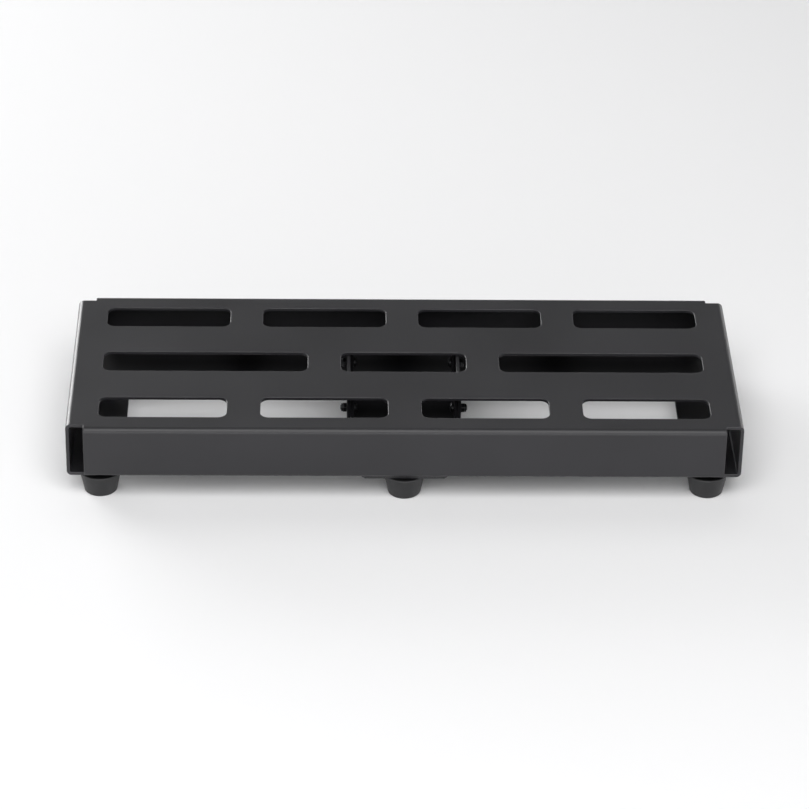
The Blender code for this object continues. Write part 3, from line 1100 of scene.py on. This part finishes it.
@dataclass
class Hardware:
    """Screws, lock nuts and washers, each drawn once with its bearing face at the origin."""

    finishes: Finishes
    screw_radius: float = 2.5 * MM
    head_radius: float = 4.75 * MM
    head_height: float = 3.3 * MM
    socket_flats: float = 3.0 * MM
    socket_depth: float = 1.8 * MM
    thread_pitch: float = 0.8 * MM
    thread_depth: float = 0.42 * MM
    nut_flats: float = 8.0 * MM
    nut_hex_height: float = 3.5 * MM
    nut_height: float = 5.0 * MM
    collar_radius: float = 3.7 * MM
    bore_radius: float = 2.8 * MM
    washer_radius: float = 6.5 * MM
    washer_thickness: float = 1.2 * MM

    def __post_init__(self) -> None:
        """Settle the directions that every small piece is drawn with."""
        self.angles = turned_angles()

    def thread_ring(self, height: float) -> Ring:
        """Ring of a helical thread at one height."""
        ring: Ring = []
        for angle in self.angles:
            phase = (height / self.thread_pitch - angle / (2 * math.pi)) % 1.0
            groove = self.thread_depth * abs(2 * phase - 1)
            radius = self.screw_radius - groove
            ring.append(Vector((radius * math.cos(angle), radius * math.sin(angle), height)))
        return ring

    def screw(self, name: str, shank: float) -> bpy.types.Mesh:
        """Button-head screw with a hexagon socket, standing on its head.

        Args:
            name: Name of the mesh.
            shank: Length from the bearing face to the thread's end.

        Returns:
            The finished mesh.
        """
        core = self.screw_radius - self.thread_depth
        threaded = 3.6 * MM
        rings: list[Ring] = [[Vector((0, 0, shank))], circle(core * 0.8, shank, self.angles)]
        rings.append(circle(core, shank - 0.2 * MM, self.angles))
        steps = round(threaded / (self.thread_pitch / 8))
        for step in range(steps + 1):
            rings.append(self.thread_ring(shank - 0.3 * MM - threaded * step / steps))
        plain = shank - 0.5 * MM - threaded
        profile = [
            (self.screw_radius, plain), (self.screw_radius, 0.25 * MM),
            (self.screw_radius + 0.2 * MM, 0.0), (self.head_radius - 0.25 * MM, 0.0),
            (self.head_radius - 0.07 * MM, -0.07 * MM), (self.head_radius, -0.25 * MM),
            (self.head_radius, -0.8 * MM),
        ]
        crown = self.socket_flats / 2 * 1.25
        rise = self.head_height - 0.8 * MM
        for step in range(1, 11):
            turn = RIGHT_ANGLE * step / 10
            profile.append((
                crown + (self.head_radius - crown) * math.cos(turn),
                -0.8 * MM - rise * math.sin(turn),
            ))
        rings += [circle(radius, height, self.angles) for radius, height in profile]
        top = -self.head_height
        rings.append(circle(crown - 0.06 * MM, top + 0.02 * MM, self.angles))
        chamfer = self.socket_flats + 0.16 * MM
        rings.append(hexagon(chamfer, top + 0.10 * MM, self.angles))
        rings.append(hexagon(self.socket_flats, top + 0.24 * MM, self.angles))
        rings.append(hexagon(self.socket_flats, top + self.socket_depth - 0.1 * MM, self.angles))
        rings.append(
            hexagon(self.socket_flats - 0.2 * MM, top + self.socket_depth, self.angles)
        )
        rings.append([Vector((0, 0, top + self.socket_depth + 0.35 * MM))])
        return self.finish_small(object_from(name, loft(rings)), 32)

    def nut(self, name: str) -> bpy.types.Mesh:
        """Lock nut: chamfered hexagon, round collar and nylon ring, standing on its bearing face.

        Args:
            name: Name of the mesh.

        Returns:
            The finished mesh, with the nylon ring's faces on its second material.
        """
        flat = self.nut_flats / 2
        rings: list[Ring] = []
        top = self.nut_height
        collar = self.collar_radius
        for radius, height in (
            [(self.bore_radius - 0.15 * MM, top - 0.75 * MM), (self.bore_radius, top - 0.55 * MM)]
            + [(collar - 0.75 * MM, top - 0.42 * MM), (collar - 0.55 * MM, top - 0.40 * MM)]
            + [(collar - 0.52 * MM, top - 0.12 * MM), (collar - 0.42 * MM, top)]
            + quarter_round((collar - 0.35 * MM, top - 0.35 * MM), 0.35 * MM, RIGHT_ANGLE)
            + [(collar, self.nut_hex_height + 0.45 * MM)]
            + [(collar + 0.08 * MM, self.nut_hex_height + 0.12 * MM)]
            + [(collar + 0.2 * MM, self.nut_hex_height)]
        ):
            rings.append(circle(radius, height, self.angles))
        slope = math.tan(math.radians(30))
        for step in range(7):
            drop = 0.5 * MM * step / 6
            reach = flat * 0.975 + drop / slope
            rings.append(
                hexagon(self.nut_flats, self.nut_hex_height - drop, self.angles, reach)
            )
        for step in range(6, -1, -1):
            lift = 0.35 * MM * step / 6
            reach = flat * 0.975 + lift / slope
            rings.append(hexagon(self.nut_flats, lift, self.angles, reach))
        rings.append(circle(flat * 0.94, -0.0, self.angles))
        rings.append(circle(self.bore_radius + 0.35 * MM, 0.0, self.angles))
        rings.append(circle(self.bore_radius, 0.35 * MM, self.angles))
        rings.append(circle(self.bore_radius, top - 1.3 * MM, self.angles))
        rings.append(circle(self.bore_radius - 0.15 * MM, top - 1.2 * MM, self.angles))
        mesh = self.finish_small(object_from(name, loft(rings, closed=True)), 28)
        for face in mesh.polygons:
            reach = math.hypot(face.center.x, face.center.y)
            if face.center.z > top - 1.35 * MM and reach < collar - 0.54 * MM:
                face.material_index = 1
        return mesh

    def washer(self, name: str) -> bpy.types.Mesh:
        """Flat washer with stamped, rounded edges, lying on its lower face.

        Args:
            name: Name of the mesh.

        Returns:
            The finished mesh.
        """
        soft = 0.22 * MM
        outer = self.washer_radius
        inner = self.bore_radius
        thick = self.washer_thickness
        profile = [(inner + soft, thick)]
        profile += quarter_round((outer - soft, thick - soft), soft, RIGHT_ANGLE)
        profile += quarter_round((outer - soft, soft), soft, 0.0)
        profile += quarter_round((inner + soft, soft), soft, -RIGHT_ANGLE)
        profile += quarter_round((inner + soft, thick - soft), soft, math.pi)[:-1]
        return self.finish_small(turned(name, profile, self.angles, True), 40)

    def finish_small(
        self, obj: bpy.types.Object, crease: float, narrow: float = 0.16 * MM
    ) -> bpy.types.Mesh:
        """Shade a small piece, mark its edges and give back its mesh.

        Args:
            obj: Piece as lofted.
            crease: Angle in degrees above which an edge stays crisp.
            narrow: Faces narrower than this are part of a rounded edge.

        Returns:
            The mesh; the object is removed.
        """
        mesh = obj.data
        mark_edges(mesh, narrow)
        mesh.shade_smooth()
        mesh.set_sharp_from_angle(angle=math.radians(crease))
        bpy.data.objects.remove(obj, do_unlink=True)
        return mesh


@dataclass
class BraceFixings:
    """Four lugs under the deck's bars, each with its screw and lock nut through a brace wall."""

    finishes: Finishes
    hardware: Hardware
    lug_sheet: float = 2.5 * MM
    lug_bend: float = 4.0 * MM
    hole_radius: float = 2.8 * MM

    def lug(self, end: End, side: Side) -> bpy.types.Object:
        """Fold, pierce, deburr and coat one lug.

        Args:
            end: Front or rear bar.
            side: Left or right wall.

        Returns:
            The lug.
        """
        label = label_of(end, side)
        node = f"brace_lug_{label}"
        low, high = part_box(node)
        face_x = high.x if side is Side.RIGHT else -low.x
        foot_x = low.x if side is Side.RIGHT else -high.x
        flat_x = face_x - self.lug_bend
        sheet = FoldedSheet(
            f"lug_{label}",
            [(foot_x, low.y), (flat_x, low.y), (flat_x, high.y), (foot_x, high.y)],
            high.z,
            {1: ((1, 0), fold_path(self.lug_bend, high.z - low.z, 12))},
            rise=-1,
            thickness=self.lug_sheet,
            edge_radius=0.4 * MM,
            soft_radius=1.1 * MM,
        )
        screw = middle_of(f"brace_screw_{label}")
        centre = Vector((face_x, screw.y, screw.z))
        placing = Matrix.Translation(centre) @ Matrix.Rotation(RIGHT_ANGLE, 4, "Y")
        holes = bmesh.new()
        reach = 4 * self.lug_sheet
        add_prism(holes, round_outline(self.hole_radius), -reach, reach, placing)
        lug = sheet.deburr(sheet.pierce(sheet.skin(), holes))
        if side is Side.LEFT:
            turn = Matrix.Translation((0, screw.y, 0)) @ Matrix.Rotation(math.pi, 4, "Z")
            lug.data.transform(turn @ Matrix.Translation((0, -screw.y, 0)))
        return dress(lug, Slot.BRACE_COAT, [node], self.finishes.brace_coat)

    def build(self) -> None:
        """Make every lug, screw and nut."""
        low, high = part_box("brace_screw_front_right")
        shank = high.x - low.x - self.hardware.head_height
        screw_mesh = self.hardware.screw("lug_screw", shank)
        nut_mesh = self.hardware.nut("lug_nut")
        for end in End:
            for side in Side:
                self.lug(end, side)
                self.fasten(end, side, screw_mesh, nut_mesh)

    def fasten(
        self, end: End, side: Side, screw_mesh: bpy.types.Mesh, nut_mesh: bpy.types.Mesh
    ) -> None:
        """Place the screw and nut of one lug.

        Args:
            end: Front or rear bar.
            side: Left or right wall.
            screw_mesh: Screw to copy.
            nut_mesh: Nut to copy.
        """
        label = label_of(end, side)
        turn = Matrix.Rotation(side.value * RIGHT_ANGLE, 4, "Y")
        twist = Matrix.Rotation(math.radians(17 * side.value + 11 * end.value), 4, "Z")
        low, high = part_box(f"brace_screw_{label}")
        centre = (low + high) / 2
        head = low.x if side is Side.RIGHT else high.x
        bearing = Vector((head + side.value * self.hardware.head_height, centre.y, centre.z))
        screw = copy_of(
            screw_mesh, f"lug_screw_{label}", Matrix.Translation(bearing) @ turn @ twist
        )
        dress(
            screw, Slot.BLACK_HARDWARE, [f"brace_screw_{label}"], self.finishes.black_steel
        )
        low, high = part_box(f"brace_nut_{label}")
        face = low.x if side is Side.RIGHT else high.x
        seat = Vector((face, centre.y, centre.z))
        nut = copy_of(nut_mesh, f"lug_nut_{label}", Matrix.Translation(seat) @ turn)
        dress(
            nut,
            Slot.BLACK_HARDWARE,
            [f"brace_nut_{label}"],
            self.finishes.black_steel,
            self.finishes.nylon,
        )


@dataclass
class Feet:
    """Six tapered rubber feet, each with its washer, screw and lock nut."""

    finishes: Finishes
    hardware: Hardware
    top_radius: float = 18.8 * MM
    base_radius: float = 15.0 * MM
    top_edge: float = 0.9 * MM
    base_edge: float = 1.6 * MM
    recess_depth: float = 11.5 * MM
    recess_clearance: float = 0.5 * MM
    bore_radius: float = 2.8 * MM
    pad_radius: float = 7.0 * MM
    dish_depth: float = 2.0 * MM
    rim_width: float = 0.7 * MM
    facets: int = 96

    def foot_mesh(self, height: float) -> bpy.types.Mesh:
        """Moulded foot standing on the floor, with a recess for the screw's head.

        Args:
            height: Height of the foot.

        Returns:
            The finished mesh.
        """
        recess = self.hardware.washer_radius + self.recess_clearance
        lean = math.atan2(self.top_radius - self.base_radius, height)
        soft = 0.6 * MM
        rim = self.top_radius - self.top_edge - self.rim_width
        dish = height - self.dish_depth
        profile = [(self.bore_radius + 0.4 * MM, height), (self.pad_radius - soft, height)]
        profile += quarter_round(
            (self.pad_radius - soft, height - soft), soft, RIGHT_ANGLE, 5, -RIGHT_ANGLE
        )
        profile += [(self.pad_radius, dish + soft), (self.pad_radius + soft, dish)]
        profile += [(rim - soft, dish), (rim - 0.1 * MM, dish + soft)]
        profile += [(rim, height - 0.4 * MM), (rim + 0.4 * MM, height)]
        profile += quarter_round(
            (self.top_radius - self.top_edge, height - self.top_edge),
            self.top_edge, RIGHT_ANGLE, 7, -(RIGHT_ANGLE + lean),
        )
        base = (self.base_radius - self.base_edge + 0.1 * MM, self.base_edge)
        profile += quarter_round(base, self.base_edge, -lean, 8, -(RIGHT_ANGLE - lean))
        profile.append((recess + 2.6 * MM, 0.0))
        profile += quarter_round((recess + 2.2 * MM, -0.0), 0.4 * MM, 0.0, 4, math.pi)
        profile += quarter_round((recess + soft, soft), soft, -RIGHT_ANGLE)
        profile.append((recess, self.recess_depth - 0.5 * MM))
        profile.append((recess - 0.15 * MM, self.recess_depth - 0.15 * MM))
        profile.append((recess - 0.5 * MM, self.recess_depth))
        profile.append((self.bore_radius + 0.3 * MM, self.recess_depth))
        profile.append((self.bore_radius, self.recess_depth + 0.3 * MM))
        profile.append((self.bore_radius, height - 0.4 * MM))
        angles = [2 * math.pi * step / self.facets for step in range(self.facets)]
        obj = turned("rubber_foot", profile, angles, True)
        return self.hardware.finish_small(obj, 50, 0.36 * MM)

    def build(self) -> None:
        """Make every foot with its washer, screw and nut."""
        low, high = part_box("foot_front_left")
        foot = self.foot_mesh(high.z - low.z)
        washer = self.hardware.washer("foot_washer")
        nut = self.hardware.nut("foot_nut")
        low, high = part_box("foot_screw_front_left")
        screw = self.hardware.screw("foot_screw", high.z - low.z - self.hardware.head_height)
        for end in End:
            for column in Column:
                label = f"{end.name.lower()}_{column.value}"
                self.stand(label, foot, f"foot_{label}", f"rubber_foot_{label}")
                self.stand(label, washer, f"foot_washer_{label}", f"washer_{label}")
                self.stand(label, screw, f"foot_screw_{label}", f"foot_bolt_{label}")
                self.stand(label, nut, f"foot_nut_{label}", f"foot_lock_nut_{label}")

    def stand(self, label: str, template: bpy.types.Mesh, node: str, name: str) -> None:
        """Place and dress one piece of a foot's stack.

        Args:
            label: Which foot.
            template: Mesh to copy.
            node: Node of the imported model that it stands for.
            name: Name of the piece.
        """
        low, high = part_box(node)
        centre = (low + high) / 2
        is_screw = name.startswith("foot_bolt")
        height = low.z + (self.hardware.head_height if is_screw else 0.0)
        # Each piece is turned a little differently, as hand-tightened hardware is.
        turn = math.radians(23 * (len(label) + 3 * label.count("r")) + 41 * label.count("t"))
        placing = Matrix.Translation((centre.x, centre.y, height))
        piece = copy_of(template, name, placing @ Matrix.Rotation(turn, 4, "Z"))
        if name.startswith("rubber"):
            dress(piece, Slot.FOOT_RUBBER, [node], self.finishes.rubber)
        elif name.startswith("washer"):
            dress(piece, Slot.WASHER_ZINC, [node], self.finishes.zinc)
        elif is_screw:
            dress(piece, Slot.BLACK_HARDWARE, [node], self.finishes.black_steel)
        else:
            dress(
                piece, Slot.BLACK_HARDWARE, [node], self.finishes.black_steel, self.finishes.nylon
            )


# ---------------------------------------------------------------------------------------------
# Studio
# ---------------------------------------------------------------------------------------------


@dataclass(frozen=True)
class SoftBox:
    """One soft area light, turned to the board."""

    name: str
    place: tuple[float, float, float]
    size: tuple[float, float]
    power: float

    def build(self) -> None:
        """Hang the light and turn it to the board."""
        lamp = bpy.data.lights.new(self.name, "AREA")
        lamp.shape = "RECTANGLE"
        lamp.size, lamp.size_y = self.size
        lamp.energy = self.power
        obj = in_scene(self.name, lamp)
        obj.rotation_euler = (-Vector(self.place)).to_track_quat("-Z", "Y").to_euler()
        obj.location = self.place


@dataclass
class Studio:
    """Pale floor, soft lights, a graded surround and the camera."""

    floor_half: float = 12.0
    floor_shade: float = 0.92
    camera_place: tuple[float, float, float] = (-0.0755, -2.8699, 1.8239)
    camera_yaw: float = 1.541
    camera_drop: float = 32.0095
    camera_roll: float = 1.042
    camera_lens: float = 162.15
    surround_strength: float = 4.2
    surround: dict[float, float] = field(
        default_factory=lambda: {-1.0: 0.1, -0.3: 0.1, -0.1: 1.0, 0.12: 1.0, 0.22: 0.01, 1.0: 0.005}
    )
    lights: list[SoftBox] = field(
        default_factory=lambda: [
            SoftBox("key_rear_left", (-2.2, 2.6, 0.7), (2.4, 1.2), 84.0),
            SoftBox("key_front_high", (0.0, -1.8, 2.6), (3.4, 2.6), 80.0),
            SoftBox("fill_left", (-1.5, 0.9, 0.8), (0.9, 0.9), 3.8),
            SoftBox("fill_front_low", (0.0, -2.2, 0.7), (2.4, 0.6), 4.8),
            SoftBox("top_rear", (0.0, 1.2, 2.0), (2.0, 1.2), 7.0),
            SoftBox("top_front", (0.0, -1.2, 2.0), (2.0, 1.2), 6.8),
        ]
    )

    def build_floor(self) -> None:
        """Lay the floor."""
        half = self.floor_half
        shape = bmesh.new()
        add_prism(shape, [(-half, -half), (half, -half), (half, half), (-half, half)], -0.02, 0.0)
        floor = object_from("studio_floor", shape)
        material = bpy.data.materials.new("pale_floor")
        material.use_nodes = True
        shader = material.node_tree.nodes["Principled BSDF"]
        shade = self.floor_shade
        shader.inputs["Base Color"].default_value = (shade, shade, shade * 1.005, 1.0)
        shader.inputs["Roughness"].default_value = 0.9
        shader.inputs["Specular IOR Level"].default_value = 0.1
        floor.data.materials.append(material)

    def build_surround(self) -> None:
        """Light the surround in a bright band round the horizon, under a dark top."""
        world = bpy.data.worlds.new("studio_surround")
        world.use_nodes = True
        tree = world.node_tree
        place = tree.nodes.new("ShaderNodeTexCoord")
        split = tree.nodes.new("ShaderNodeSeparateXYZ")
        tree.links.new(place.outputs["Generated"], split.inputs["Vector"])
        upright = tree.nodes.new("ShaderNodeMapRange")
        upright.inputs["From Min"].default_value = -1.0
        tree.links.new(split.outputs["Z"], upright.inputs["Value"])
        ramp = tree.nodes.new("ShaderNodeValToRGB")
        stops = ramp.color_ramp.elements
        while len(stops) < len(self.surround):
            stops.new(0.5)
        for stop, (sine, level) in zip(stops, sorted(self.surround.items())):
            stop.position = (sine + 1) / 2
            stop.color = (level, level, level * 1.01, 1.0)
        tree.links.new(upright.outputs["Result"], ramp.inputs["Fac"])
        background = tree.nodes["Background"]
        background.inputs["Strength"].default_value = self.surround_strength
        tree.links.new(ramp.outputs["Color"], background.inputs["Color"])
        bpy.context.scene.world = world

    def build_camera(self) -> None:
        """Set up the camera in front of the board, looking down on it."""
        yaw = math.radians(self.camera_yaw)
        drop = math.radians(self.camera_drop)
        roll = math.radians(self.camera_roll)
        forward = Vector((
            math.sin(yaw) * math.cos(drop), math.cos(yaw) * math.cos(drop), -math.sin(drop)
        ))
        level = Vector((math.cos(yaw), -math.sin(yaw), 0.0))
        upward = level.cross(forward)
        right = math.cos(roll) * level + math.sin(roll) * upward
        top = math.cos(roll) * upward - math.sin(roll) * level
        lens = bpy.data.cameras.new("camera")
        lens.lens = self.camera_lens
        lens.sensor_width = 36.0
        lens.clip_start = 0.05
        lens.clip_end = 60.0
        camera = in_scene("camera", lens)
        turn = Matrix((right, top, -forward)).transposed().to_4x4()
        camera.matrix_world = Matrix.Translation(self.camera_place) @ turn
        bpy.context.scene.camera = camera

    def build(self) -> None:
        """Set up the whole studio."""
        self.build_camera()
        self.build_floor()
        self.build_surround()
        for light in self.lights:
            light.build()
        bpy.context.scene.view_settings.view_transform = "Standard"
        LOG.info("studio: %d lights", len(self.lights))


def main() -> None:
    """Build the pedalboard and the studio round it."""
    logging.basicConfig(level=logging.INFO, format="%(name)s: %(message)s")
    Studio().build()
    finishes = Finishes()
    hardware = Hardware(finishes)
    Deck(finishes).build()
    BraceChannel(finishes).build()
    BraceFixings(finishes, hardware).build()
    Feet(finishes, hardware).build()


if __name__ == "__main__":
    main()
